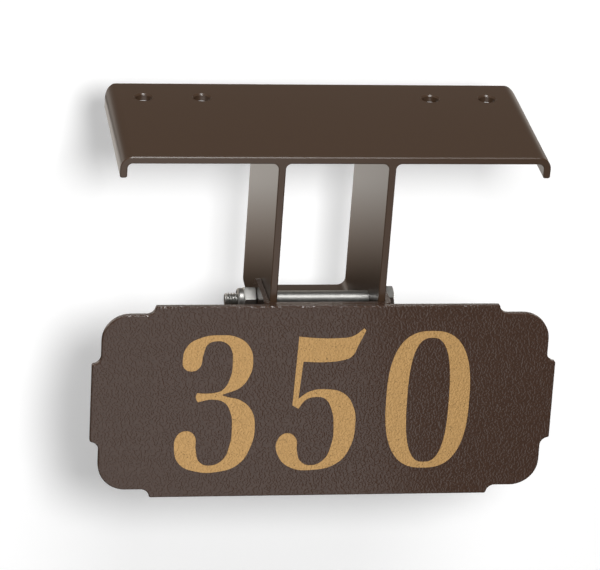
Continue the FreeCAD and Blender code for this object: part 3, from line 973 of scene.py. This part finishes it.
def surroundings():
    """Even light all round. The camera and clear glass look out on plain white, and shiny surfaces
    on a dim room that is brighter at the left."""
    light = bpy.context.scene.plaque_light
    world = bpy.data.worlds.new("studio")
    world.use_nodes = True
    tree = world.node_tree
    tree.nodes.clear()
    ray = add_node(tree, "LightPath")
    seen = add_node(tree, "Math", {"operation": "MAXIMUM"}, {
        0: ray.outputs["Is Camera Ray"], 1: ray.outputs["Is Transmission Ray"],
    })
    white = opaque((1, 1, 1))
    even = add_node(tree, "Background", inputs={"Color": white, "Strength": light.surround})
    place = add_node(tree, "TexCoord").outputs["Generated"]
    parts = add_node(tree, "SeparateXYZ", inputs={"Vector": place})
    left = add_node(tree, "MapRange", {"interpolation_type": "SMOOTHSTEP"}, {
        "Value": parts.outputs["X"], "From Min": 0.35, "From Max": -0.35,
        "To Min": ROOM_RIGHT, "To Max": ROOM_LEFT,
    })
    back = add_node(tree, "MapRange", {"interpolation_type": "SMOOTHSTEP"}, {
        "Value": parts.outputs["Y"], "From Min": -0.1, "From Max": 0.2,
    })
    strength = add_node(tree, "Mix", {"data_type": "FLOAT"}, {
        "Factor": back.outputs["Result"], "A": left.outputs["Result"], "B": ROOM_BEHIND,
    })
    reflected = add_node(tree, "Background", inputs={
        "Color": white, "Strength": strength.outputs["Result"],
    })
    plain = add_node(tree, "Background", inputs={"Color": white, "Strength": 1.0})
    glossy = add_node(tree, "MixShader", inputs={
        0: ray.outputs["Is Glossy Ray"],
        1: even.outputs["Background"], 2: reflected.outputs["Background"],
    })
    mixed = add_node(tree, "MixShader", inputs={
        0: seen.outputs["Value"], 1: glossy.outputs["Shader"], 2: plain.outputs["Background"],
    })
    add_node(tree, "OutputWorld", inputs={"Surface": mixed.outputs["Shader"]})
    bpy.context.scene.world = world


def add_camera(lens):
    """The camera, at the angle and distance from which the object is pictured."""
    back = aim(CAMERA_AZIMUTH, CAMERA_ELEVATION)
    across = math.radians(CAMERA_AZIMUTH)
    right = Vector((math.cos(across), math.sin(across), 0))
    up = back.cross(right)
    roll = math.radians(CAMERA_ROLL)
    rolled_right = right * math.cos(roll) + up * math.sin(roll)
    rolled_up = up * math.cos(roll) - right * math.sin(roll)
    bpy.ops.object.camera_add()
    camera = bpy.context.object
    camera.name = "camera"
    camera.data.lens = lens
    camera.data.sensor_width = SENSOR_WIDTH
    turn = Matrix((rolled_right, rolled_up, back)).transposed().to_4x4()
    camera.matrix_world = Matrix.Translation(CAMERA_TARGET + back * CAMERA_DISTANCE) @ turn
    bpy.context.scene.camera = camera
    return camera


class PLAQUE_OT_stage(bpy.types.Operator):
    """Sets up the white sweep, the soft lamps, the surroundings and the camera"""

    bl_idname = "plaque.stage"
    bl_label = "Stage"

    def execute(self, context):
        light = context.scene.plaque_light
        floor = paper_sweep(FLOOR_HEIGHT, CAD_BOX[1].y + WALL_DISTANCE)
        floor.visible_shadow = False
        dress(floor, white_paper())
        camera = add_camera(light.lens)
        beside = camera.location + camera.matrix_world.to_3x3() @ KEY_BESIDE_CAMERA
        soft_disc("key", beside, PIVOT, KEY_DIAMETER, light.key_strength)
        soft_sun("front_top", light.front_top_strength, **FRONT_TOP_SUN)
        top = soft_sun("top", light.top_strength, **TOP_SUN)
        top.visible_glossy = False
        soft_sun("rear", light.rear_strength, **REAR_SUN)
        soft_panel("panel", PANEL_CENTRE, PANEL_WIDTH, PANEL_HEIGHT, light.panel_level)
        surroundings()
        context.scene.view_settings.view_transform = "Standard"
        return {"FINISHED"}


class PLAQUE_PT_steps(bpy.types.Panel):
    """The steps that dress the plaque, in order"""

    bl_idname = "PLAQUE_PT_steps"
    bl_label = "House Number Plaque"
    bl_space_type = "VIEW_3D"
    bl_region_type = "UI"
    bl_category = "Plaque"

    def draw(self, context):
        layout = self.layout
        for group in (
            context.scene.plaque_sizes, context.scene.plaque_colours, context.scene.plaque_light
        ):
            column = layout.column(align=True)
            for name in group.__annotations__:
                column.prop(group, name)
        for step in STEPS:
            layout.operator(step.bl_idname)


STEPS = (PLAQUE_OT_finishes, PLAQUE_OT_bolt, PLAQUE_OT_lock_nut, PLAQUE_OT_figures, PLAQUE_OT_stage)
GROUPS = {
    "plaque_sizes": PlaqueSizes,
    "plaque_colours": PlaqueColours,
    "plaque_light": PlaqueLight,
}


def register():
    for kind in (*GROUPS.values(), *STEPS, PLAQUE_PT_steps):
        bpy.utils.register_class(kind)
    for name, group in GROUPS.items():
        setattr(bpy.types.Scene, name, PointerProperty(type=group))


def unregister():
    for name in GROUPS:
        delattr(bpy.types.Scene, name)
    for kind in reversed((*GROUPS.values(), *STEPS, PLAQUE_PT_steps)):
        bpy.utils.unregister_class(kind)


def main():
    """Dresses the plaque step by step."""
    register()
    bpy.ops.plaque.finishes()
    bpy.ops.plaque.bolt()
    bpy.ops.plaque.lock_nut()
    bpy.ops.plaque.figures()
    bpy.ops.plaque.stage()


if __name__ == "__main__":
    main()
